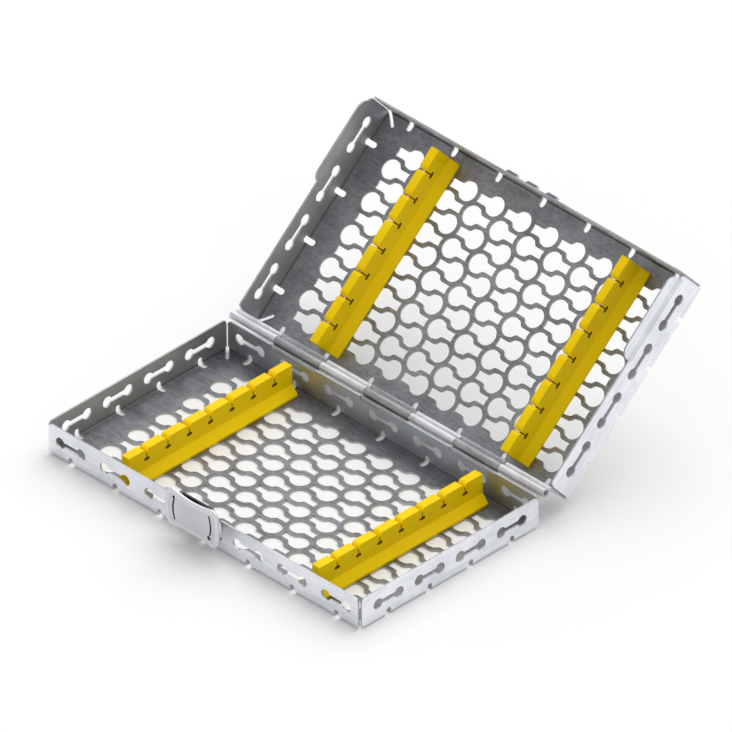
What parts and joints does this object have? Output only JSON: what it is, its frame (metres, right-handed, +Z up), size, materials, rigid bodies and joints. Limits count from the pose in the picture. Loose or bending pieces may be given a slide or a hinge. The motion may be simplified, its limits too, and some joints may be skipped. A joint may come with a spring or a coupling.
{
  "type": "sterilization container",
  "caption": "Open instrument sterilization cassette: two hinged perforated steel trays with dumbbell wall slots, yellow silicone combs and a hook latch with a pull plate.",
  "frame": {"origin": "middle of the underside of the base tray, on the plane that it stands on", "axes": "+X along the hinge, +Y from the latch side to the hinge side, +Z up; the lid stands open as stored"},
  "size_m": [0.184, 0.2071, 0.0858],
  "materials": {
    "tray_steel": "satin brushed",
    "pin_steel": "polished",
    "rail_steel": "satin",
    "plate_steel": "bead blasted",
    "hook_dark": "dark polished",
    "silicone": "matte silicone"
  },
  "bodies": {
    "base": {"base_tray": "tray_steel", "hinge_pin": "pin_steel", "base_left_comb": "silicone", "base_right_comb": "silicone", "base_left_rail": "rail_steel", "base_right_rail": "rail_steel", "latch_pin": "pin_steel"},
    "lid": {"lid_tray": "tray_steel", "lid_left_comb": "silicone", "lid_right_comb": "silicone", "lid_left_rail": "rail_steel", "lid_right_rail": "rail_steel"},
    "latch": {"latch_bracket": "hook_dark", "latch_plate": "plate_steel"}
  },
  "joints": [
    {"name": "lid_hinge", "type": "hinge", "parent": "base", "child": "lid", "pos_m": [0, 0.05545, 0.0155], "axis": [1, 0, 0], "range_deg": [-22.6, 139.4]},
    {"name": "latch_hinge", "type": "hinge", "parent": "base", "child": "latch", "pos_m": [0, -0.0521, 0.007], "axis": [1, 0, 0], "range_deg": [-9, 45]}
  ]
}
